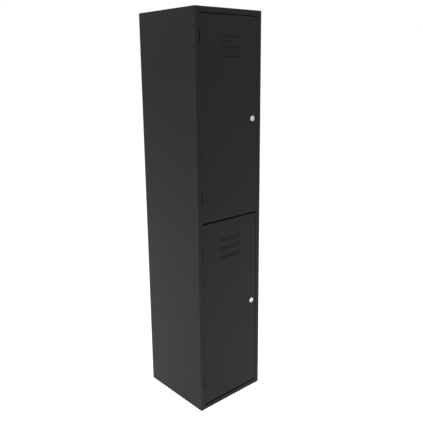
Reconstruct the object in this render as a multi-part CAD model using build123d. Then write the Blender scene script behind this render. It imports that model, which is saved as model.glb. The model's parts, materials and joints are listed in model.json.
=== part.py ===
from build123d import *
import os

# Two-tier steel locker. Millimetres, +Z up. The origin is on the floor, at the centre of the
# carcass, and the doors face -Y. Left and right are as seen from the front.

# ---- carcass ----
width = 380.0             # outside of one side panel to the outside of the other
depth = 390.0             # front frame's face to the rear flanges
height = 1810.0
sheet = 0.9               # carcass steel
bend = 1.3                # outer radius of a fold
stile_face = 23.5         # front frame, beside the doors
top_rail_face = 23.5      # front frame, above the upper door
bottom_rail_face = 22.0   # front frame, below the lower door
frame_depth = 16.0        # how far the door opening's lining runs back to the stops
stop_lap = 10.0           # how far a stop reaches into the opening
stop_step = 11.0          # the locker's floor above the bottom rail's lining
rear_flange = 16.0        # side panels' return across the back
foot_flange = 14.0        # side panels' return along the floor
rail_hem = 12.0           # bottom rail's return along the floor
tray_flange = 18.0        # turned-down edges of the top, floor and shelf
shelf_hem = 12.0          # return under the shelf's front lip

# ---- doors ----
door_sheet = 0.9
door_clear = 1.5          # back of the closed door to the stops
door_return = 10.0        # pan's inner return
hinge_gap = 0.4           # doors to left stile; it sets the hinges' size
upper_lock_gap = 0.7      # upper door to right stile
lower_lock_gap = 2.4      # lower door to right stile
top_gap = 3.2             # upper door to top rail
middle_gap = 6.8          # lower door to upper door
bottom_gap = 6.0          # lower door to bottom rail
door_swing = 110.0        # degrees

# ---- louvres ----
louvre_count = 3
louvre_width = 125.0
louvre_height = 23.5
louvre_level = 3.0        # level run above its open edge
louvre_proud = 5.0
louvre_pitch = 41.5
louvre_end = 11.0         # length of each sloping end
louvre_drop = 81.5        # door's top edge to the first louvre's top edge

# ---- stiffener inside each door ----
hat_width = 36.0
hat_depth = 9.0
hat_foot = 8.0
hat_clear = 6.0           # to the pan's returns and to the louvres

# ---- hinges ----
leaf = 0.9                # leaf and knuckle thickness
pin_play = 0.05           # radial, in the door's knuckles
pin_head_lip = 0.5        # head's radius beyond the pin's
pin_head = 0.6
hinge_height = 52.0
hinge_knuckles = 5
knuckle_gap = 0.3
leaf_short = 0.3          # a leaf's rear edge to the door's inner return
hinge_clear = 0.4         # notch edge to knuckle
hinge_setback = 0.5       # pin axis behind the front face
notch_over = 1.0          # notch above and below the hinge
upper_hinge_drop = 90.6   # door's top edge to the upper hinge's middle
upper_hinge_rise = 116.4  # door's bottom edge to the lower hinge's middle
lower_hinge_drop = 127.3
lower_hinge_rise = 105.0

# ---- cam locks ----
lock_inset = 30.0         # lock axis to the right stile
bezel_radius = 12.2
bezel_proud = 2.6
bezel_rim = 1.0           # height of the bezel's upright rim
barrel_radius = 9.3
barrel_flats = 16.0       # across the two flats
barrel_clear = 1.1        # barrel's end to the cam
nut_across = 24.0
nut_thick = 4.0
plug_radius = 6.4
plug_play = 0.06
plug_recess = 0.4         # plug face behind the bezel's face
keyway_width = 2.0
keyway_height = 8.5
keyway_depth = 9.0
tail_square = 7.0
cam_thick = 2.0
cam_width = 16.0
cam_reach = 31.0          # lock axis to the cam's tip
cam_clear = 0.8           # stop's back to the cam
screw_head_radius = 4.4
screw_head = 2.4
screw_slot = 1.0
screw_radius = 2.0
screw_length = 6.0
washer_radius = 6.5
washer_thick = 1.0
lock_turn = 90.0          # degrees

# ---- rubber buffers ----
buffer_radius = 4.0
buffer_inset = 60.0       # door's corner to the buffer, along the lock edge
buffer_clear = 0.2

# ---- coat hooks ----
hook_plate = 2.0
hook_plate_width = 46.0
hook_plate_depth = 18.0
hook_wire = 2.5           # radius
hook_apart = 7.0          # between the two prongs' stems
hook_bend = 12.0
hook_stem = 26.0
hook_ball = 4.0
hook_rivet_spacing = 32.0

# ---- rivets ----
rivet_radius = 1.6
rivet_head_radius = 3.2
rivet_head = 1.1
rivet_tail_radius = 2.4
rivet_end = 45.0          # first and last rivet to the back panel's ends
rivet_pitch_wanted = 210.0

# ---- where things are ----
left = -width / 2
right = width / 2
front = -depth / 2
back = depth / 2
opening_left = left + stile_face
opening_right = right - stile_face
stop_front = front + frame_depth
stop_back = stop_front + sheet
opening_top = height - top_rail_face
opening_bottom = bottom_rail_face
floor_top = bottom_rail_face + stop_step
door_left = opening_left + hinge_gap
upper_door_right = opening_right - upper_lock_gap
lower_door_right = opening_right - lower_lock_gap
door_middle = (opening_left + opening_right) / 2
door_height = (opening_top - opening_bottom - top_gap - middle_gap - bottom_gap) / 2
lower_door_bottom = opening_bottom + bottom_gap
lower_door_top = lower_door_bottom + door_height
upper_door_bottom = lower_door_top + middle_gap
upper_door_top = upper_door_bottom + door_height
shelf_top = upper_door_bottom + stop_lap
shelf_lip_bottom = lower_door_top - stop_lap
door_back = stop_front - door_clear
back_panel_front = back - 2 * sheet
inner_left = left + sheet
inner_right = right - sheet

# Each leaf lies on the hidden side of its sheet, and its knuckles bridge the two sheets and the gap.
frame_leaf_x = opening_left - sheet - leaf
door_leaf_x = door_left + door_sheet
pin_radius = (hinge_gap + sheet + door_sheet) / 2
pin_head_radius = pin_radius + pin_head_lip
knuckle_radius = pin_radius + leaf
hinge_x = frame_leaf_x + knuckle_radius
hinge_y = front + hinge_setback
notch_reach = knuckle_radius + hinge_clear

lock_x = opening_right - lock_inset
cam_front = stop_back + cam_clear
cam_back = cam_front + cam_thick
barrel_back = cam_front - barrel_clear
tray_notch_front = back_panel_front - 2 * bend


def span(x_low, x_high, y_low, y_high, z_low, z_high):
    """A block between its low and high faces."""
    centre = Pos((x_low + x_high) / 2, (y_low + y_high) / 2, (z_low + z_high) / 2)
    return centre * Box(x_high - x_low, y_high - y_low, z_high - z_low)


def fold(points, thickness):
    """The section of a folded sheet: points follow its outer face, and the sheet lies to their left."""
    outer = FilletPolyline(*points, radius=bend)
    return make_face(offset(outer, amount=thickness, side=Side.LEFT, closed=True).edges())


def standing_fold(points, z_low, z_high):
    """A plan section, as (x, y) points, that stands between two heights."""
    return Pos(0, 0, z_low) * extrude(fold(points, sheet), amount=z_high - z_low, dir=(0, 0, 1))


def crossing_fold(points):
    """A side section, as (y, z) points, that runs across the locker between its walls."""
    section = Plane.YZ * fold(points, sheet)
    return Pos(inner_left, 0, 0) * extrude(section, amount=inner_right - inner_left, dir=(1, 0, 0))


def along_y(radius, y_low, y_high, x=0.0, z=0.0):
    """A round bar along Y."""
    return Pos(x, (y_low + y_high) / 2, z) * Rot(90, 0, 0) * Cylinder(radius, y_high - y_low)


def upright(radius, z_low, z_high, x, y):
    """A round bar along Z."""
    return Pos(x, y, (z_low + z_high) / 2) * Cylinder(radius, z_high - z_low)


def mirrored(shape):
    """The shape on the other side of the locker's middle plane."""
    return mirror(shape, about=Plane.YZ)


# ---- hinges: where each one is, and the pieces that all four share ----
hinge_middles = {
    "upper_door_top": upper_door_top - upper_hinge_drop,
    "upper_door_bottom": upper_door_bottom + upper_hinge_rise,
    "lower_door_top": lower_door_top - lower_hinge_drop,
    "lower_door_bottom": lower_door_bottom + lower_hinge_rise,
}
knuckle_length = (hinge_height - (hinge_knuckles - 1) * knuckle_gap) / hinge_knuckles


def knuckles(middle, first, bore, leaf_x):
    """Every second knuckle from the given one, each with the strip that joins it to the leaf."""
    made = []
    for index in range(first, hinge_knuckles, 2):
        low = middle - hinge_height / 2 + index * (knuckle_length + knuckle_gap)
        high = low + knuckle_length
        strip = span(leaf_x, leaf_x + leaf, hinge_y, hinge_y + notch_reach + leaf, low, high)
        made.append(upright(knuckle_radius, low, high, hinge_x, hinge_y) + strip)
    hole = upright(bore, middle - hinge_height, middle + hinge_height, hinge_x, hinge_y)
    return [knuckle - hole for knuckle in made]


def hinge_leaf(middle, first, bore, leaf_x):
    """A leaf with its knuckles. The leaf starts behind the other leaf's knuckles."""
    half = hinge_height / 2
    start = hinge_y + notch_reach
    end = door_back - door_sheet - leaf_short
    plate = span(leaf_x, leaf_x + leaf, start, end, middle - half, middle + half)
    for knuckle in knuckles(middle, first, bore, leaf_x):
        plate += knuckle
    return plate


def hinge_pin(middle):
    half = hinge_height / 2
    pin = upright(pin_radius, middle - half, middle + half, hinge_x, hinge_y)
    pin += upright(pin_head_radius, middle + half, middle + half + pin_head, hinge_x, hinge_y)
    pin += upright(pin_head_radius, middle - half - pin_head, middle - half, hinge_x, hinge_y)
    return pin


def hinge_notch(middle):
    """The space cut from the stile and the door's edge around one hinge's knuckles."""
    half = hinge_height / 2 + notch_over
    return span(
        hinge_x - notch_reach, hinge_x + notch_reach,
        front - bend, hinge_y + notch_reach,
        middle - half, middle + half,
    )


# ---- carcass panels ----
rivet_count = max(2, round((height - 2 * rivet_end) / rivet_pitch_wanted) + 1)
rivet_pitch = (height - 2 * rivet_end) / (rivet_count - 1)
rivet_x = right - rear_flange / 2
rivet_places = [
    (side * rivet_x, rivet_end + row * rivet_pitch) for side in (-1, 1) for row in range(rivet_count)
]
rivet_holes = [along_y(rivet_radius, back_panel_front, back, x, z) for x, z in rivet_places]


def left_side():
    """Wall, rear flange, stile, the opening's lining and the stop: one sheet with four folds."""
    plan = [
        (left + rear_flange, back),
        (left, back),
        (left, front),
        (opening_left, front),
        (opening_left, stop_front),
        (opening_left + stop_lap, stop_front),
    ]
    panel = standing_fold(plan, 0, height)
    panel += span(inner_left, inner_left + foot_flange, stop_back, back_panel_front, 0, sheet)
    # The top panel's plate lies on the lining, and the rails' own stops meet this one.
    panel -= span(inner_left, 0, front + sheet, back - sheet, height - sheet, height + sheet)
    stop_space = (opening_left, 0, front + bend, stop_back + sheet)
    panel -= span(*stop_space, opening_top - stop_lap, height)
    panel -= span(*stop_space, 0, floor_top)
    return panel


left_side_panel = left_side()
right_side_panel = mirrored(left_side_panel)
for middle in hinge_middles.values():
    left_side_panel -= hinge_notch(middle)
for hole in rivet_holes:
    left_side_panel -= hole
    right_side_panel -= hole

back_panel = span(
    inner_left + bend - sheet, inner_right - bend + sheet,
    back_panel_front, back - sheet, sheet, height,
)
for hole in rivet_holes:
    back_panel -= hole


def tray_sides(z_top):
    """The two turned-down edges along the side panels, from just under the tray's top face."""
    low = z_top - tray_flange
    pair = span(inner_left, inner_left + sheet, stop_back, tray_notch_front, low, z_top - sheet / 2)
    return pair + mirrored(pair)


def tray_notches(z_top):
    """The rear corners cut from a tray's flange, so that it clears the rivets in the back panel."""
    low = z_top - tray_flange
    pair = span(inner_left, left + rear_flange, tray_notch_front, back_panel_front, low, z_top - bend)
    return pair + mirrored(pair)


def behind_stops(shape):
    """The part of a shape that lies behind the stops, where it can be as wide as the walls allow."""
    return shape & span(inner_left, inner_right, stop_back, back, 0, height)


def before_stops(shape):
    """The part of a shape that lies within the door opening."""
    return shape & span(opening_left, opening_right, front - bend, stop_back, 0, height)


def top():
    """Plate, rear flange, front rail, the opening's lining and its stop."""
    side = [
        (back_panel_front, height - tray_flange),
        (back_panel_front, height),
        (front, height),
        (front, opening_top),
        (stop_front, opening_top),
        (stop_front, opening_top - stop_lap),
    ]
    folded = crossing_fold(side)
    panel = before_stops(folded) + behind_stops(folded)
    for low, high in ((inner_left, opening_left), (opening_right, inner_right)):
        panel += span(low, high, front + sheet, stop_back, height - sheet, height)
    return panel - tray_notches(height) + tray_sides(height)


def bottom():
    """Front rail with its hem, the opening's lining, the step up to the floor, and the floor."""
    side = [
        (front + rail_hem, 0),
        (front, 0),
        (front, opening_bottom),
        (stop_front, opening_bottom),
        (stop_front, floor_top),
        (back_panel_front, floor_top),
        (back_panel_front, floor_top - tray_flange),
    ]
    side.reverse()
    folded = crossing_fold(side)
    panel = before_stops(folded) + behind_stops(folded)
    return panel - tray_notches(floor_top) + tray_sides(floor_top)


def shelf():
    """Floor of the upper compartment, with a deep front lip that both doors close on."""
    side = [
        (stop_front + shelf_hem, shelf_lip_bottom),
        (stop_front, shelf_lip_bottom),
        (stop_front, shelf_top),
        (back_panel_front, shelf_top),
        (back_panel_front, shelf_top - tray_flange),
    ]
    side.reverse()
    folded = crossing_fold(side)
    lip = folded & span(
        opening_left + stop_lap, opening_right - stop_lap,
        front, stop_back, 0, height,
    )
    panel = lip + behind_stops(folded)
    return panel - tray_notches(shelf_top) + tray_sides(shelf_top)


top_panel = top()
bottom_panel = bottom()
middle_shelf = shelf()


def back_rivet(x, z):
    """A blind rivet with its domed head on the back, its shank, and its swollen inner end."""
    head = along_y(rivet_head_radius, back, back + rivet_head, x, z)
    head = fillet(head.edges().group_by(Axis.Y)[-1], rivet_head * 0.7)
    shank = along_y(rivet_radius, back_panel_front, back, x, z)
    return head + shank + along_y(rivet_tail_radius, back_panel_front - sheet, back_panel_front, x, z)


back_panel_rivets = [back_rivet(x, z) for x, z in rivet_places]

# ---- doors ----


def arc_radius(run, rise):
    """Radius of an arc that rises by rise over run and ends level."""
    return (run * run + rise * rise) / (2 * rise)


def hood(z_top, inset):
    """The solid form of one louvre, drawn in from the outer face by inset.
    From the side it curves out and runs level to its open lower edge, and from above its
    ends curve back."""
    side_radius = arc_radius(louvre_height - louvre_level, louvre_proud)
    end_radius = arc_radius(louvre_end, louvre_proud)
    z_low = z_top - louvre_height
    y_side = front - louvre_proud + side_radius
    side = Pos(y_side, z_low + louvre_level) * Circle(side_radius - inset)
    side += Pos(y_side, z_low + louvre_level / 2) * Rectangle(2 * (side_radius - inset), louvre_level)
    bar = extrude(Plane.YZ * side, amount=louvre_width, dir=(1, 0, 0))
    round_side = Pos(door_middle - louvre_width / 2, 0, 0) * bar
    flat_half = louvre_width / 2 - louvre_end
    y_end = front - louvre_proud + end_radius
    plan = Pos(0, y_end) * Rectangle(2 * flat_half, 2 * (end_radius - inset))
    for hand in (-1, 1):
        plan += Pos(hand * flat_half, y_end) * Circle(end_radius - inset)
    round_ends = Pos(door_middle, 0, z_low) * extrude(plan, amount=louvre_height, dir=(0, 0, 1))
    return round_side & round_ends


def louvre_shell(z_top):
    """The hood's steel, down to the door's skin."""
    skin_side = span(
        opening_left, opening_right, front - louvre_proud, front + door_sheet,
        z_top - louvre_height, z_top,
    )
    return (hood(z_top, 0) - hood(z_top, door_sheet)) & skin_side


def louvre_cut(z_top):
    """The passage through the skin under the hood."""
    skin_side = span(
        opening_left, opening_right, front - louvre_proud, front + 2 * door_sheet,
        z_top - louvre_height, z_top,
    )
    return hood(z_top, door_sheet) & skin_side


def barrel_section(grow):
    """Round bar with two flats, as a section across the lock's axis."""
    reach = barrel_radius + grow
    return Circle(reach) & Rectangle(barrel_flats + 2 * grow, 2 * reach)


def lock_bar(section, y_low, y_high, z):
    """A section across the lock's axis, drawn out along that axis."""
    placed = Plane(origin=(lock_x, y_low, z), x_dir=(1, 0, 0), z_dir=(0, 1, 0)) * section
    return extrude(placed, amount=y_high - y_low, dir=(0, 1, 0))


def door(bottom_edge, top_edge, right_edge, hinges):
    """A folded pan with its louvres, lock hole and hinge notches."""
    outer = span(door_left, right_edge, front, door_back, bottom_edge, top_edge)
    outer = fillet(outer.faces().sort_by(Axis.Y)[0].edges(), bend)
    inner = span(
        door_left + door_sheet, right_edge - door_sheet, front + door_sheet,
        door_back - door_sheet, bottom_edge + door_sheet, top_edge - door_sheet,
    )
    inner = fillet(inner.faces().sort_by(Axis.Y)[0].edges(), bend - door_sheet)
    window = span(
        door_left + door_return, right_edge - door_return,
        door_back - door_sheet, door_back,
        bottom_edge + door_return, top_edge - door_return,
    )
    panel = outer - inner - window
    for index in range(louvre_count):
        z_top = top_edge - louvre_drop - index * louvre_pitch
        panel -= louvre_cut(z_top)
        panel += louvre_shell(z_top)
    middle = (bottom_edge + top_edge) / 2
    panel -= lock_bar(barrel_section(0), front, front + door_sheet, middle)
    for hinge in hinges:
        panel -= hinge_notch(hinge_middles[hinge])
    return panel


def stiffener(bottom_edge, top_edge):
    """A hat channel welded inside the door, between the hinges and the louvres."""
    louvre_edge = door_middle - louvre_width / 2
    low_x = (door_left + door_return + louvre_edge) / 2 - hat_width / 2
    high_x = low_x + hat_width
    skin = front + door_sheet
    low_z = bottom_edge + door_return + hat_clear
    high_z = top_edge - door_return - hat_clear
    plan = [
        (low_x, skin + door_sheet),
        (low_x + hat_foot, skin + door_sheet),
        (low_x + hat_foot, skin + hat_depth),
        (high_x - hat_foot, skin + hat_depth),
        (high_x - hat_foot, skin + door_sheet),
        (high_x, skin + door_sheet),
    ]
    plan.reverse()
    return Pos(0, 0, low_z) * extrude(fold(plan, door_sheet), amount=high_z - low_z, dir=(0, 0, 1))


# ---- locks ----


def lock_housing(z):
    """Round bezel with a domed face, over the flatted barrel that passes through the door."""
    bezel = along_y(bezel_radius, front - bezel_proud, front, lock_x, z)
    bezel = fillet(bezel.edges().group_by(Axis.Y)[0], bezel_proud - bezel_rim)
    body = bezel + lock_bar(barrel_section(0), front, barrel_back, z)
    return body - along_y(plug_radius + plug_play, front - bezel_proud, barrel_back, lock_x, z)


def lock_nut(z):
    skin = front + door_sheet
    hexagon = RegularPolygon(nut_across / 2, 6, major_radius=False)
    return lock_bar(hexagon - barrel_section(0), skin, skin + nut_thick, z)


def lock_plug(z):
    """The part that the key turns, with a square tail for the cam and a threaded hole's solid core."""
    face = front - bezel_proud + plug_recess
    plug = along_y(plug_radius, face, barrel_back, lock_x, z)
    plug += lock_bar(Rectangle(tail_square, tail_square), barrel_back, cam_back, z)
    keyway = lock_bar(Rectangle(keyway_width, keyway_height), face, face + keyway_depth, z)
    screw_hole = along_y(screw_radius, cam_back - screw_length, cam_back, lock_x, z)
    return plug - keyway - screw_hole


def lock_cam(z):
    """A flat finger, hanging down when the lock is open, that turns behind the right stop."""
    half = cam_width / 2
    outline = Circle(half) + Pos(0, -(cam_reach - half) / 2) * Rectangle(cam_width, cam_reach - half)
    outline += Pos(0, half - cam_reach) * Circle(half)
    # The section's own Y axis points down the locker, so the finger is drawn upside down.
    flipped = Rot(0, 0, 180) * outline
    return lock_bar(flipped - Rectangle(tail_square, tail_square), cam_front, cam_back, z)


def cam_screw(z):
    """Screw and washer that keep the cam on the plug's tail."""
    washer_back = cam_back + washer_thick
    screw = along_y(washer_radius, cam_back, washer_back, lock_x, z)
    screw += along_y(screw_head_radius, washer_back, washer_back + screw_head, lock_x, z)
    slot = Rectangle(screw_head_radius * 2, screw_slot)
    screw -= lock_bar(slot, washer_back + screw_head / 2, washer_back + screw_head, z)
    return screw + along_y(screw_radius, cam_back - screw_length, cam_back, lock_x, z)


# ---- small parts inside ----


def buffer(z):
    """A rubber dome on the right stop."""
    tall = stop_front - door_back - buffer_clear
    flat_middle = opening_right - (stop_lap + bend) / 2
    dome = along_y(buffer_radius, stop_front - tall, stop_front, flat_middle, z)
    return fillet(dome.edges().group_by(Axis.Y)[0], tall * 0.6)


door_buffers = [
    buffer(z)
    for bottom_edge, top_edge in ((lower_door_bottom, lower_door_top), (upper_door_bottom, upper_door_top))
    for z in (bottom_edge + buffer_inset, top_edge - buffer_inset)
]


def hook_prong(side, ceiling):
    """One wire prong: down from the plate, round, and up to a ball."""
    low = ceiling - hook_plate - hook_stem
    stem_x = side * hook_apart / 2
    middle_x = stem_x + side * hook_bend
    wire = upright(hook_wire, low, ceiling - hook_plate, stem_x, 0)
    section = Plane(origin=(stem_x, 0, low), z_dir=(0, 0, -1)) * Circle(hook_wire)
    wire += revolve(section, axis=Axis((middle_x, 0, low), (0, -side, 0)), revolution_arc=180)
    return wire + Pos(middle_x + side * hook_bend, 0, low) * Sphere(hook_ball)


def coat_hook(ceiling):
    """Plate with two prongs, under a compartment's ceiling."""
    half_width = hook_plate_width / 2
    half_depth = hook_plate_depth / 2
    plate = span(-half_width, half_width, -half_depth, half_depth, ceiling - hook_plate, ceiling)
    plate = fillet(plate.edges().filter_by(Axis.Z), half_depth / 2)
    for side in (-1, 1):
        plate += hook_prong(side, ceiling)
    for place in hook_rivet_places:
        plate -= upright(rivet_radius, ceiling - hook_plate, ceiling, place, 0)
    return plate


hook_rivet_places = (-hook_rivet_spacing / 2, hook_rivet_spacing / 2)
upper_ceiling = height - sheet
lower_ceiling = shelf_top - sheet


def hook_rivet(x, ceiling):
    """Head under the hook's plate, shank up through the plate to the ceiling's underside."""
    head = upright(rivet_head_radius, ceiling - hook_plate - rivet_head, ceiling - hook_plate, x, 0)
    head = fillet(head.edges().group_by(Axis.Z)[0], rivet_head * 0.7)
    return head + upright(rivet_radius, ceiling - hook_plate, ceiling, x, 0)


coat_hook_rivets = [
    hook_rivet(x, ceiling)
    for ceiling in (upper_ceiling, lower_ceiling)
    for x in hook_rivet_places
]

# ---- every node by its name ----
nodes = {
    "left_side_panel": left_side_panel,
    "right_side_panel": right_side_panel,
    "back_panel": back_panel,
    "back_panel_rivets": Compound(children=back_panel_rivets),
    "top_panel": top_panel,
    "bottom_panel": bottom_panel,
    "middle_shelf": middle_shelf,
    "door_buffers": Compound(children=door_buffers),
    "upper_coat_hook": coat_hook(upper_ceiling),
    "lower_coat_hook": coat_hook(lower_ceiling),
    "coat_hook_rivets": Compound(children=coat_hook_rivets),
}

for name, middle in hinge_middles.items():
    nodes[name + "_hinge_frame_leaf"] = hinge_leaf(middle, 0, pin_radius, frame_leaf_x)
    nodes[name + "_hinge_door_leaf"] = hinge_leaf(middle, 1, pin_radius + pin_play, door_leaf_x)
    nodes[name + "_hinge_pin"] = hinge_pin(middle)

for tier, bottom_edge, top_edge, right_edge in (
    ("upper", upper_door_bottom, upper_door_top, upper_door_right),
    ("lower", lower_door_bottom, lower_door_top, lower_door_right),
):
    hinges = [name for name in hinge_middles if name.startswith(tier)]
    lock_z = (bottom_edge + top_edge) / 2
    nodes[tier + "_door_panel"] = door(bottom_edge, top_edge, right_edge, hinges)
    nodes[tier + "_door_stiffener"] = stiffener(bottom_edge, top_edge)
    nodes[tier + "_lock_housing"] = lock_housing(lock_z)
    nodes[tier + "_lock_nut"] = lock_nut(lock_z)
    nodes[tier + "_lock_plug"] = lock_plug(lock_z)
    nodes[tier + "_lock_cam"] = lock_cam(lock_z)
    nodes[tier + "_lock_cam_screw"] = cam_screw(lock_z)

os.makedirs("parts", exist_ok=True)
for name, shape in nodes.items():
    export_step(shape, os.path.join("parts", name + ".step"))
print(len(nodes), "parts. Doors: from x", door_left, "height", door_height)
print("Door pins: x", hinge_x, "y", hinge_y, "swing 0 to", door_swing, "degrees about -Z")
print("Lock axes: x", lock_x, "turn 0 to", lock_turn, "degrees about -Y")
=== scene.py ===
import json
import math

import bmesh
import bpy
from mathutils import Matrix, Vector


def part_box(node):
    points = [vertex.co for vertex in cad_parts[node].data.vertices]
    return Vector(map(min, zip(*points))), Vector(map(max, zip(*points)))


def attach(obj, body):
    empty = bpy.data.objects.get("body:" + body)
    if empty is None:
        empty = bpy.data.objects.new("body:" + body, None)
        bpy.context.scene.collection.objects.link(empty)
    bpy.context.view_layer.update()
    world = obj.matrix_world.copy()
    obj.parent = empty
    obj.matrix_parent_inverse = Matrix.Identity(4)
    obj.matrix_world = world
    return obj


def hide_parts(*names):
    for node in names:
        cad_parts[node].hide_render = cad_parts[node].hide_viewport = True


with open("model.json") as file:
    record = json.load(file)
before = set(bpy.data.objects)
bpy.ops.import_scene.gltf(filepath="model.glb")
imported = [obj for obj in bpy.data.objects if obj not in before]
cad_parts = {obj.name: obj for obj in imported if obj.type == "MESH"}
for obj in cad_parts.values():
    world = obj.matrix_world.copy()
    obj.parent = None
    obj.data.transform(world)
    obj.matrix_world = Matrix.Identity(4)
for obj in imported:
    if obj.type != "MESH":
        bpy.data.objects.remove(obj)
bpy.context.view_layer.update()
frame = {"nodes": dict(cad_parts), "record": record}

# Black two-tier steel locker. The CAD model is the frame, and everything here is in metres:
# doors face -Y, the floor is z = 0, and left and right are as seen from the front.

print("frame loaded:", len(frame["nodes"]), "CAD nodes")

near = 1e-5     # two places closer than this are the same place
onCut = 1e-7    # a corner this close to a cut isn't moved or split


def addNode(tree, kind, values=None, **settings):
    node = tree.nodes.new("ShaderNode" + kind)
    for key, value in settings.items():
        setattr(node, key, value)
    for key, value in (values or {}).items():
        node.inputs[key].default_value = value
    return node


def meshObject(name, bm):
    mesh = bpy.data.meshes.new(name)
    bm.to_mesh(mesh)
    bm.free()
    piece = bpy.data.objects.new(name, mesh)
    bpy.context.scene.collection.objects.link(piece)
    return piece


# The camera stands to the left of the locker and looks slightly down on it.
cameraValues = {
    "place": (-1.619, -1.914, 1.564),
    "yaw": 40.95,          # degrees from +Y towards +X
    "pitch": -13.33,
    "roll": -0.72,
    "lens": 45.9,
    "shift": (0.0059, -0.0343),
}


def makeCamera(values):
    data = bpy.data.cameras.new("camera")
    data.lens = values["lens"]
    data.shift_x, data.shift_y = values["shift"]
    data.clip_start = 0.05
    camera = bpy.data.objects.new("camera", data)
    turn = Matrix.Rotation(math.radians(-values["yaw"]), 4, "Z")
    turn @= Matrix.Rotation(math.radians(90 + values["pitch"]), 4, "X")
    turn @= Matrix.Rotation(math.radians(values["roll"]), 4, "Z")
    camera.matrix_world = Matrix.Translation(values["place"]) @ turn
    bpy.context.scene.collection.objects.link(camera)
    bpy.context.scene.camera = camera


# Soft light from all round, a bright floor, and four softboxes.
studioValues = {
    # what lights the locker: height of a direction, 0 level to 1 straight up, and its strength
    "surround": ((0.0, 0.03), (0.15, 1.47), (0.40, 0.41), (1.0, 0.0)),
    "backdrop": 1.0,           # what is seen behind it
    "floorColour": (0.86, 0.86, 0.86),
    "floorGlow": 0.79,
    "floorRoughness": 0.9,
    "floorSize": 30.0,
    "softboxes": {
        # name: place, the point it faces, width, height, watts
        "leftSoftbox": ((-3.4, 0.6, 1.3), (0.0, 0.0, 0.7), 2.6, 2.2, 54.0),
        "frontSoftbox": ((1.6, -3.6, 1.8), (0.0, 0.0, 0.8), 2.4, 2.0, 3.0),
        "overheadSoftbox": ((0.0, -0.3, 4.2), (0.0, 0.0, 0.0), 4.5, 4.5, 50.0),
        "keySoftbox": ((-1.5, -4.5, 3.0), (0.0, 0.0, 1.2), 2.0, 2.0, 71.0),
    },
}


def makeSurround(values):
    world = bpy.data.worlds.new("studio")
    bpy.context.scene.world = world
    world.use_nodes = True
    tree = world.node_tree
    tree.nodes.clear()
    links = tree.links
    axes = addNode(tree, "SeparateXYZ")
    links.new(addNode(tree, "TexCoord").outputs["Object"], axes.inputs[0])
    ramp = addNode(tree, "ValToRGB")
    links.new(axes.outputs["Z"], ramp.inputs["Fac"])
    stops = ramp.color_ramp.elements
    while len(stops) < len(values["surround"]):
        stops.new(0.5)
    for stop, (height, strength) in zip(stops, values["surround"]):
        stop.position = height
        stop.color = (strength, strength, strength, 1)
    surround = addNode(tree, "Background")
    links.new(ramp.outputs["Color"], surround.inputs["Color"])
    white = {"Color": (1, 1, 1, 1), "Strength": values["backdrop"]}
    backdrop = addNode(tree, "Background", white)
    mix = addNode(tree, "MixShader")
    links.new(addNode(tree, "LightPath").outputs["Is Camera Ray"], mix.inputs[0])
    links.new(surround.outputs[0], mix.inputs[1])
    links.new(backdrop.outputs[0], mix.inputs[2])
    links.new(mix.outputs[0], addNode(tree, "OutputWorld").inputs[0])


def makeSoftboxes(values):
    for name, (place, target, wide, tall, watts) in values["softboxes"].items():
        data = bpy.data.lights.new(name, "AREA")
        data.shape = "RECTANGLE"
        data.size, data.size_y = wide, tall
        data.energy = watts
        lamp = bpy.data.objects.new(name, data)
        lamp.location = place
        facing = Vector(target) - Vector(place)
        lamp.rotation_euler = facing.to_track_quat("-Z", "Y").to_euler()
        bpy.context.scene.collection.objects.link(lamp)


def makeFloor(values):
    bm = bmesh.new()
    bmesh.ops.create_grid(bm, x_segments=1, y_segments=1, size=values["floorSize"])
    floor = meshObject("floor", bm)
    material = bpy.data.materials.new("paleFloor")
    material.use_nodes = True
    shader = material.node_tree.nodes["Principled BSDF"]
    shader.inputs["Base Color"].default_value = (*values["floorColour"], 1)
    shader.inputs["Roughness"].default_value = values["floorRoughness"]
    shader.inputs["Specular IOR Level"].default_value = 0.0
    shader.inputs["Emission Color"].default_value = (1, 1, 1, 1)
    shader.inputs["Emission Strength"].default_value = values["floorGlow"]
    floor.data.materials.append(material)


makeCamera(cameraValues)
makeSurround(studioValues)
makeSoftboxes(studioValues)
makeFloor(studioValues)
bpy.context.scene.view_settings.view_transform = "Standard"
print("camera, lights and floor made")

# Finishes. Every pattern is on Object coordinates, so its scale is in metres.
noiseSpan = (0.3, 0.7)    # most of a noise's values lie between these


def newFinish(name, constants):
    material = bpy.data.materials.new(name)
    material.use_nodes = True
    tree = material.node_tree
    shader = tree.nodes["Principled BSDF"]
    for key, value in constants.items():
        shader.inputs[key].default_value = value
    place = addNode(tree, "TexCoord").outputs["Object"]
    return material, tree, shader, place


def addNoise(tree, place, scale, detail=2.0, roughness=0.5):
    look = {"Scale": scale, "Detail": detail, "Roughness": roughness}
    noise = addNode(tree, "TexNoise", look)
    tree.links.new(place, noise.inputs["Vector"])
    return noise.outputs["Fac"]


def remap(tree, source, low, high, toLow, toHigh):
    node = addNode(tree, "MapRange", {
        "From Min": low, "From Max": high, "To Min": toLow, "To Max": toHigh,
    })
    tree.links.new(source, node.inputs["Value"])
    return node.outputs["Result"]


def mixColours(tree, factor, first, second):
    # A colour is either a triple or another node's output.
    node = addNode(tree, "Mix", data_type="RGBA")
    sockets = [s for s in node.inputs if s.type == "RGBA"]
    tree.links.new(factor, node.inputs[0])
    for socket, colour in zip(sockets, (first, second)):
        if isinstance(colour, tuple):
            socket.default_value = (*colour, 1)
        else:
            tree.links.new(colour, socket)
    return next(s for s in node.outputs if s.type == "RGBA")


def calculate(tree, operation, first, second):
    node = addNode(tree, "Math", operation=operation)
    for socket, value in zip(node.inputs, (first, second)):
        if isinstance(value, (int, float)):
            socket.default_value = value
        else:
            tree.links.new(value, socket)
    return node.outputs[0]


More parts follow.
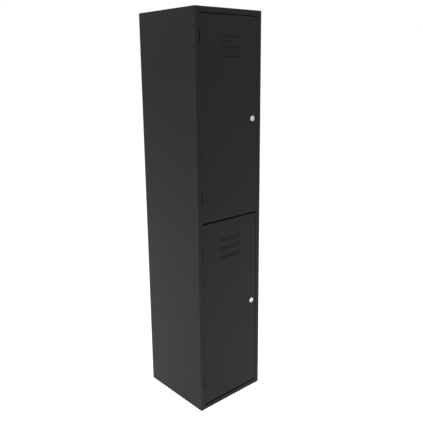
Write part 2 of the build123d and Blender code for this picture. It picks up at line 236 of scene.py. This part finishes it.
def addBump(tree, height, strength, distance, under=None):
    node = addNode(tree, "Bump", {"Strength": strength, "Distance": distance})
    tree.links.new(height, node.inputs["Height"])
    if under is not None:
        tree.links.new(under, node.inputs["Normal"])
    return node.outputs["Normal"]


def edgeMask(tree, place, values):
    # 1 on edges tighter than the radius, broken up into patches: where the painted edge highlight
    # goes.
    bevel = addNode(tree, "Bevel", {"Radius": values["edgeRadius"]}, samples=6)
    flat = addNode(tree, "NewGeometry")
    dot = addNode(tree, "VectorMath", operation="DOT_PRODUCT")
    tree.links.new(bevel.outputs[0], dot.inputs[0])
    tree.links.new(flat.outputs["Normal"], dot.inputs[1])
    edge = remap(tree, dot.outputs["Value"], *values["edgeTurn"], 0.0, 1.0)
    noise = addNoise(tree, place, values["edgePatches"], 4.0, 0.65)
    patches = remap(tree, noise, *values["patchLimits"], 0.0, 1.0)
    return calculate(tree, "MULTIPLY", edge, patches)


paintValues = {
    "dark": (0.0051, 0.0051, 0.0053),
    "light": (0.0059, 0.0059, 0.0061),
    "edgeHighlight": (0.030, 0.030, 0.031),
    "edgeHighlightMost": 0.6,
    "mottleScale": 4.0,
    "smearScale": 11.0,
    # each bump: noise scale, detail, strength, depth
    "bumps": {
        "waves": (2.4, 1.0, 0.06, 0.004),      # thin sheet is never quite flat
        "peel": (260.0, 1.5, 0.10, 0.0003),    # orange peel
        "grain": (1500.0, 2.0, 0.16, 0.0001),  # the powder coat's fine texture
    },
    "roughness": (0.38, 0.42),
    "specular": 0.152,
    "edgeRadius": 0.0012,
    "edgeTurn": (0.985, 0.90),                 # where an edge starts to take the painted highlight, and takes it fully
    "edgePatches": 38.0,
    "patchLimits": (0.48, 0.66),
}


def makePaint(name, values):
    material, tree, shader, place = newFinish(name, {"Specular IOR Level": values["specular"]})
    mottle = remap(tree, addNoise(tree, place, values["mottleScale"], 3.0), *noiseSpan, 0.0, 1.0)
    body = mixColours(tree, mottle, values["dark"], values["light"])
    # Lighter colour on tight edges, in patches: a painted highlight, not wear.
    highlightAmount = calculate(tree, "MULTIPLY", edgeMask(tree, place, values), values["edgeHighlightMost"])
    tree.links.new(mixColours(tree, highlightAmount, body, values["edgeHighlight"]), shader.inputs["Base Color"])
    smear = addNoise(tree, place, values["smearScale"], 4.0, 0.6)
    tree.links.new(remap(tree, smear, *noiseSpan, *values["roughness"]), shader.inputs["Roughness"])
    normal = None
    for scale, detail, strength, depth in values["bumps"].values():
        normal = addBump(tree, addNoise(tree, place, scale, detail), strength, depth, normal)
    tree.links.new(normal, shader.inputs["Normal"])
    return material


# Black oxide steel, darker than the paint: partly the hinge's own finish, partly painted shade
# standing in for the shadow in the hinge slots.
hingeValues = {
    "dark": (0.0008, 0.0008, 0.0009),
    "light": (0.0018, 0.0017, 0.0017),
    "patchScale": 420.0,
    "patchLimits": (0.35, 0.65),
    "roughness": (0.50, 0.68),
    "specular": 0.035,
    "grainScale": 1800.0,
    "grainBump": 0.2,
    "grainDepth": 0.0001,
}


def makeHingeSteel(name, values):
    material, tree, shader, place = newFinish(name, {"Specular IOR Level": values["specular"]})
    noise = addNoise(tree, place, values["patchScale"], 4.0, 0.6)
    patches = remap(tree, noise, *values["patchLimits"], 0.0, 1.0)
    colour = mixColours(tree, patches, values["dark"], values["light"])
    tree.links.new(colour, shader.inputs["Base Color"])
    roughness = remap(tree, patches, 0.0, 1.0, *values["roughness"])
    tree.links.new(roughness, shader.inputs["Roughness"])
    grain = addNoise(tree, place, values["grainScale"], 2.0)
    bump = addBump(tree, grain, values["grainBump"], values["grainDepth"])
    tree.links.new(bump, shader.inputs["Normal"])
    return material


# The lock's metals are brushed round the lock's axis, so each lock has its own pair of finishes.
lockFinishValues = {
    "housing": {
        "dark": (0.62, 0.54, 0.45), "light": (0.86, 0.78, 0.67), "roughness": (0.22, 0.34),
    },
    "plug": {
        "dark": (0.60, 0.56, 0.38), "light": (0.80, 0.76, 0.56), "roughness": (0.18, 0.30),
    },
    "ringScale": 2600.0,
    "ringBump": 0.12,
    "ringDepth": 0.00005,
    "scratchScale": 900.0,
    "toneLimits": (0.15, 0.38),
}


def makeLockMetal(name, centre, finish, values):
    material, tree, shader, place = newFinish(name, {"Metallic": 1.0})
    links = tree.links
    centred = addNode(tree, "Mapping", {"Location": [-c for c in centre]})
    links.new(place, centred.inputs["Vector"])
    axes = addNode(tree, "SeparateXYZ")
    links.new(centred.outputs["Vector"], axes.inputs[0])
    across = calculate(tree, "MULTIPLY", axes.outputs["X"], axes.outputs["X"])
    up = calculate(tree, "MULTIPLY", axes.outputs["Z"], axes.outputs["Z"])
    radius = calculate(tree, "SQRT", calculate(tree, "ADD", across, up), 0.0)
    look = {"Scale": values["ringScale"], "Detail": 2.0}
    rings = addNode(tree, "TexNoise", look, noise_dimensions="1D")
    links.new(radius, rings.inputs["W"])
    specks = addNoise(tree, place, values["scratchScale"], 5.0, 0.7)
    blend = calculate(tree, "MULTIPLY", rings.outputs["Fac"], specks)
    tone = remap(tree, blend, *values["toneLimits"], 0.0, 1.0)
    links.new(mixColours(tree, tone, finish["dark"], finish["light"]), shader.inputs["Base Color"])
    links.new(remap(tree, specks, *noiseSpan, *finish["roughness"]), shader.inputs["Roughness"])
    bump = addBump(tree, rings.outputs["Fac"], values["ringBump"], values["ringDepth"])
    links.new(bump, shader.inputs["Normal"])
    return material


zincValues = {
    "dark": (0.40, 0.42, 0.44),
    "light": (0.62, 0.64, 0.66),
    "spangleScale": 420.0,
    "cloudScale": 160.0,
    "toneLimits": (0.2, 0.8),
    "roughness": (0.30, 0.46),
    "bump": 0.15,
    "bumpDepth": 0.0001,
}


def makeZinc(name, values):
    material, tree, shader, place = newFinish(name, {"Metallic": 1.0})
    links = tree.links
    cells = addNode(tree, "TexVoronoi", {"Scale": values["spangleScale"]})
    links.new(place, cells.inputs["Vector"])
    grey = addNode(tree, "SeparateColor")
    links.new(cells.outputs["Color"], grey.inputs[0])
    cloud = addNoise(tree, place, values["cloudScale"], 4.0, 0.6)
    tone = calculate(tree, "MULTIPLY", calculate(tree, "ADD", grey.outputs[0], cloud), 0.5)
    links.new(mixColours(tree, tone, values["dark"], values["light"]), shader.inputs["Base Color"])
    roughness = remap(tree, tone, *values["toneLimits"], *values["roughness"])
    links.new(roughness, shader.inputs["Roughness"])
    links.new(addBump(tree, cloud, values["bump"], values["bumpDepth"]), shader.inputs["Normal"])
    return material


rubberValues = {
    "dark": (0.012, 0.012, 0.012),
    "light": (0.022, 0.022, 0.023),
    "bloomScale": 700.0,
    "roughness": (0.62, 0.8),
    "specular": 0.3,
    "bump": 0.2,
    "bumpDepth": 0.0001,
}


def makeRubber(name, values):
    material, tree, shader, place = newFinish(name, {"Specular IOR Level": values["specular"]})
    bloom = addNoise(tree, place, values["bloomScale"], 4.0, 0.6)
    colour = mixColours(tree, bloom, values["dark"], values["light"])
    tree.links.new(colour, shader.inputs["Base Color"])
    roughness = remap(tree, bloom, *noiseSpan, *values["roughness"])
    tree.links.new(roughness, shader.inputs["Roughness"])
    bump = addBump(tree, bloom, values["bump"], values["bumpDepth"])
    tree.links.new(bump, shader.inputs["Normal"])
    return material


paint = makePaint("blackPowderCoat", paintValues)
finishes = {
    "cabinet_paint": paint,
    "hinge_steel": makeHingeSteel("blackOxideSlotShade", hingeValues),
    "zinc_plate": makeZinc("zincPlate", zincValues),
    "buffer_rubber": makeRubber("blackRubber", rubberValues),
}
slotOf = {row["node"]: row["material_slot"] for row in frame["record"]["subparts"]}
for tier in ("upper", "lower"):
    low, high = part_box(tier + "_lock_plug")
    centre = (low + high) / 2
    for part in ("housing", "plug"):
        finishes[tier + "_lock_" + part] = makeLockMetal(
            tier + part.capitalize() + "Metal", centre, lockFinishValues[part], lockFinishValues
        )
for name, node in frame["nodes"].items():
    finish = finishes.get(name) or finishes[slotOf[name]]
    for place in node.material_slots:
        place.material = finish
print("finishes made:", len(bpy.data.materials))

# Door skins: one folded pan for each tier, with its pressed louvres.
doorValues = {
    "sheet": 0.0009,
    "bend": 0.0013,
    "bendSegments": 4,
    "returnWidth": 0.010,
    "sharpAngle": 32,          # degrees, between folds and cut edges
    "louvreCount": 3,
    "louvreMiddle": 0.0,       # x of their middles
    "louvreWidth": 0.125,
    "louvreHeight": 0.0235,
    "louvreLevel": 0.003,      # level run above its open edge
    "louvreProud": 0.005,
    "louvrePitch": 0.0415,
    "louvreEnd": 0.011,
    "louvreDrop": 0.0815,      # door's top edge to the first louvre
    "louvreSlit": 0.0004,
    "slitShort": 0.0004,       # slit's ends to the louvre's ends
    "louvreMargin": 0.0025,    # skin round a louvre that is divided with it
    # cuts across a louvre, inwards from its ends, and up from its open edge
    "louvreColumns": (
        -0.0007, -0.0001, 0.0004, 0.001, 0.0018, 0.003,
        0.0045, 0.006, 0.0075, 0.009, 0.0103, 0.0112,
    ),
    "louvreRows": (
        0, 0.003, 0.005, 0.007, 0.009, 0.011, 0.013, 0.015,
        0.017, 0.0188, 0.0204, 0.0217, 0.0226, 0.0231, 0.0236, 0.0243,
    ),
    "rootBlend": 0.0005,       # softens where the pressing leaves the skin
    "cornerBlend": 0.0008,     # softens the creases between its top and its ends
    "holeRadius": 0.0093,
    "holeFlats": 0.016,
    "holeCell": 0.014,         # half the square of skin that the hole is cut in
    "holeInset": 0.002,
    "holeCuts": 11,            # in each of the square's sides
    "notchReach": 0.0024,      # round the hinge's knuckles
    "notchOver": 0.001,
    "notchDepth": 0.02,        # how far back the notch's faces are looked for
    "pinHead": 0.0006,
    "flatMargin": 0.002,       # skin's flat to the door's sides
}


def facesWhere(bm, test):
    return [face for face in bm.faces if test(face.calc_center_median())]


def cutFaces(bm, axis, places, test):
    # Splits the faces that pass the test at each place along an axis.
    normal = Vector((axis == "x", axis == "y", axis == "z"))
    for place in places:
        faces = facesWhere(bm, test)
        # Kept in order, so that the corners come in the same order on every run.
        edges = dict.fromkeys(edge for face in faces for edge in face.edges)
        verts = dict.fromkeys(vert for face in faces for vert in face.verts)
        bmesh.ops.bisect_plane(
            bm, geom=[*verts, *edges, *faces], dist=onCut,
            plane_co=normal * place, plane_no=normal,
        )


def deleteFaces(bm, faces):
    bmesh.ops.delete(bm, geom=faces, context="FACES")


def louvreRise(values, across, above):
    # How far the pressing stands out of the skin, at a place across it and above its open edge.
    proud = values["louvreProud"]
    corner, root = values["cornerBlend"], values["rootBlend"]
    past = max(abs(across) - values["louvreWidth"] / 2 + values["louvreEnd"], 0.0)
    parts = []
    climb = max(above - values["louvreLevel"], 0.0)
    for run, reach in (
        (climb, values["louvreHeight"] - values["louvreLevel"]), (past, values["louvreEnd"])
    ):
        arc = (reach ** 2 + proud ** 2) / (2 * proud)
        parts.append(proud - arc + math.sqrt(max(arc ** 2 - run ** 2, 0.0)))
    meet = max(corner - abs(parts[0] - parts[1]), 0.0) / corner
    rise = min(parts) - meet ** 2 * corner / 4
    if abs(rise) < root:
        rise = (rise + root) ** 2 / (4 * root)
    return max(rise, 0.0)


def pressLouvre(bm, values, front, openEdge):
    half, middle = values["louvreWidth"] / 2, values["louvreMiddle"]
    margin = values["louvreMargin"]
    low, high = openEdge - values["louvreSlit"], openEdge + values["louvreHeight"] + margin

    def inMiddle(point):
        return abs(point.x - middle) < half + margin and abs(point.y - front) < near

    def inPressing(point):
        return inMiddle(point) and low < point.z < high

    def inSlit(point):
        across = abs(point.x - middle)
        return inPressing(point) and point.z < openEdge and across < half - values["slitShort"]

    cutFaces(bm, "z", (low, high), inMiddle)
    columns = [
        middle + side * (half - inwards) for inwards in values["louvreColumns"] for side in (-1, 1)
    ]
    cutFaces(bm, "x", columns, inPressing)
    cutFaces(bm, "z", [openEdge + row for row in values["louvreRows"]], inPressing)
    deleteFaces(bm, facesWhere(bm, inSlit))
    for vert in bm.verts:
        if inPressing(vert.co) and vert.co.z > openEdge - near:
            vert.co.y -= louvreRise(values, vert.co.x - middle, vert.co.z - openEdge)


def cutLockHole(bm, values, front, x, z):
    reach = values["holeCell"]

    def inStrip(point):
        return abs(point.y - front) < near and abs(point.x - x) < reach

    def inCell(point):
        return inStrip(point) and abs(point.z - z) < reach

    cutFaces(bm, "z", (z - reach, z + reach), inStrip)
    cell = facesWhere(bm, inCell)[0]
    bmesh.ops.bisect_edges(bm, edges=list(cell.edges), cuts=values["holeCuts"])
    bmesh.ops.inset_individual(
        bm, faces=[cell], thickness=values["holeInset"], use_even_offset=True
    )
    flat = values["holeFlats"] / 2
    for vert in cell.verts:
        away = Vector((vert.co.x - x, vert.co.z - z)).normalized() * values["holeRadius"]
        away.x = max(-flat, min(flat, away.x))
        vert.co = Vector((x + away.x, front, z + away.y))
    deleteFaces(bm, [cell])


def cutHingeNotch(bm, values, doorLow, pinBox):
    low, high = pinBox
    pinX, pinY = (low.x + high.x) / 2, (low.y + high.y) / 2
    across, behind = pinX + values["notchReach"], pinY + values["notchReach"]
    over = values["notchOver"] - values["pinHead"]
    below, above = low.z - over, high.z + over

    foldEnd = doorLow.x + values["bend"] + near

    def onFold(point):
        return point.x < foldEnd and point.y < behind + values["notchDepth"]

    def beside(point):
        return onFold(point) and below < point.z < above

    def inNotch(point):
        return beside(point) and point.x < across and point.y < behind

    cutFaces(bm, "z", (below, above), onFold)
    cutFaces(bm, "x", (across,), beside)
    cutFaces(bm, "y", (behind,), beside)
    deleteFaces(bm, facesWhere(bm, inNotch))


def thicken(piece, values):
    # Gives a skin its wall, inwards, and keeps its folds smooth and its cut edges sharp.
    solid = piece.modifiers.new("wall", "SOLIDIFY")
    solid.thickness = values["sheet"]
    solid.offset = -1
    solid.use_even_offset = True
    graph = bpy.context.evaluated_depsgraph_get()
    mesh = bpy.data.meshes.new_from_object(piece.evaluated_get(graph))
    piece.modifiers.clear()
    piece.data = mesh
    mesh.shade_smooth()
    mesh.set_sharp_from_angle(angle=math.radians(values["sharpAngle"]))
    weighted = piece.modifiers.new("evenShading", "WEIGHTED_NORMAL")
    weighted.keep_sharp = True


def foldedRims(bm, low, high, front):
    # The edges where the pan is folded: round its front, and round the back of its sides.
    rims = []
    for edge in bm.edges:
        ends = [vert.co for vert in edge.verts]
        onFront = all(abs(end.y - front) < near for end in ends)
        onBack = all(abs(end.y - high.y) < near for end in ends) and len(edge.link_faces) == 2
        outside = all(
            min(abs(end.x - low.x), abs(end.x - high.x)) < near or
            min(abs(end.z - low.z), abs(end.z - high.z)) < near for end in ends
        )
        alongSide = abs(ends[0].x - ends[1].x) < near or abs(ends[0].z - ends[1].z) < near
        if onFront or (onBack and outside and alongSide):
            rims.append(edge)
    return rims


def makeDoor(tier, values):
    node = tier + "_door_panel"
    low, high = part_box(node)
    front = low.y + values["louvreProud"]
    size = Vector((high.x - low.x, high.y - front, high.z - low.z))
    centre = Vector(((low.x + high.x) / 2, (front + high.y) / 2, (low.z + high.z) / 2))
    bm = bmesh.new()
    bmesh.ops.create_cube(bm, size=1)
    bmesh.ops.scale(bm, vec=size, verts=bm.verts)
    bmesh.ops.translate(bm, vec=centre, verts=bm.verts)
    back = facesWhere(bm, lambda point: abs(point.y - high.y) < near)[0]
    bmesh.ops.inset_individual(
        bm, faces=[back], thickness=values["returnWidth"], use_even_offset=True
    )
    deleteFaces(bm, [back])
    bmesh.ops.bevel(
        bm, geom=foldedRims(bm, low, high, front), offset=values["bend"],
        segments=values["bendSegments"], affect="EDGES", profile=0.5, material=-1,
    )

    def onFlat(point):
        margin = values["flatMargin"]
        return abs(point.y - front) < near and low.x + margin < point.x < high.x - margin

    middle, cell = values["louvreMiddle"], values["holeCell"]
    half = values["louvreWidth"] / 2 + values["louvreMargin"]
    plugLow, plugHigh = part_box(tier + "_lock_plug")
    lockX = (plugLow.x + plugHigh.x) / 2
    cutFaces(bm, "x", (middle - half, middle + half, lockX - cell, lockX + cell), onFlat)
    for index in range(values["louvreCount"]):
        top = high.z - values["louvreDrop"] - index * values["louvrePitch"]
        pressLouvre(bm, values, front, top - values["louvreHeight"])
    cutLockHole(bm, values, front, lockX, centre.z)
    for end in ("top", "bottom"):
        cutHingeNotch(bm, values, low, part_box(tier + "_door_" + end + "_hinge_pin"))
    door = meshObject(tier + "DoorSkin", bm)
    thicken(door, values)
    door.data.materials.append(paint)
    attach(door, tier + "_door")
    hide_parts(node)
    print(door.name, len(door.data.polygons), "faces")


for tier in ("upper", "lower"):
    makeDoor(tier, doorValues)
